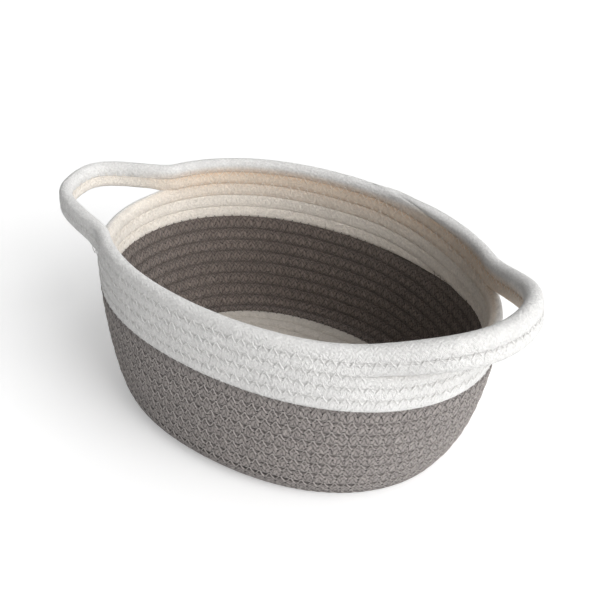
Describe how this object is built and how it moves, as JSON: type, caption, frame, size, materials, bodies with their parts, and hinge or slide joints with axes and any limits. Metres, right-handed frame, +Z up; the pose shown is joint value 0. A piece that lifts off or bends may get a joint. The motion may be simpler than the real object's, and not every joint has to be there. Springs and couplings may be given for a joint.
{
  "type": "coiled rope storage basket",
  "caption": "Oval open storage basket coiled and sewn from soft round cord, grey below and off-white above, with a loop handle in the rim at each end.",
  "frame": {"origin": "on the ground, in the middle of the basket's outline seen from above", "axes": "+X along the length to the right handle, -Y to the front, +Z up"},
  "size_m": [0.354, 0.2084, 0.1392],
  "materials": {
    "cream_cord": "soft matt cotton cord, off-white with a warm tint",
    "grey_cord": "soft matt cotton cord, taupe grey",
    "white_cord": "soft matt cotton cord, off-white",
    "cream_thread": "matt sewing thread",
    "grey_thread": "matt sewing thread",
    "white_thread": "matt sewing thread"
  },
  "bodies": {
    "root": {"base_rope": "cream_cord", "grey_wall_rope": "grey_cord", "white_wall_rope": "white_cord", "base_needle_thread": "cream_thread", "base_bobbin_thread": "cream_thread", "grey_needle_thread": "grey_thread", "grey_bobbin_thread": "grey_thread", "white_needle_thread_1": "white_thread", "white_needle_thread_2": "white_thread", "white_needle_thread_3": "white_thread", "white_bobbin_thread_1": "white_thread", "white_bobbin_thread_2": "white_thread", "white_bobbin_thread_3": "white_thread"}
  },
  "joints": []
}
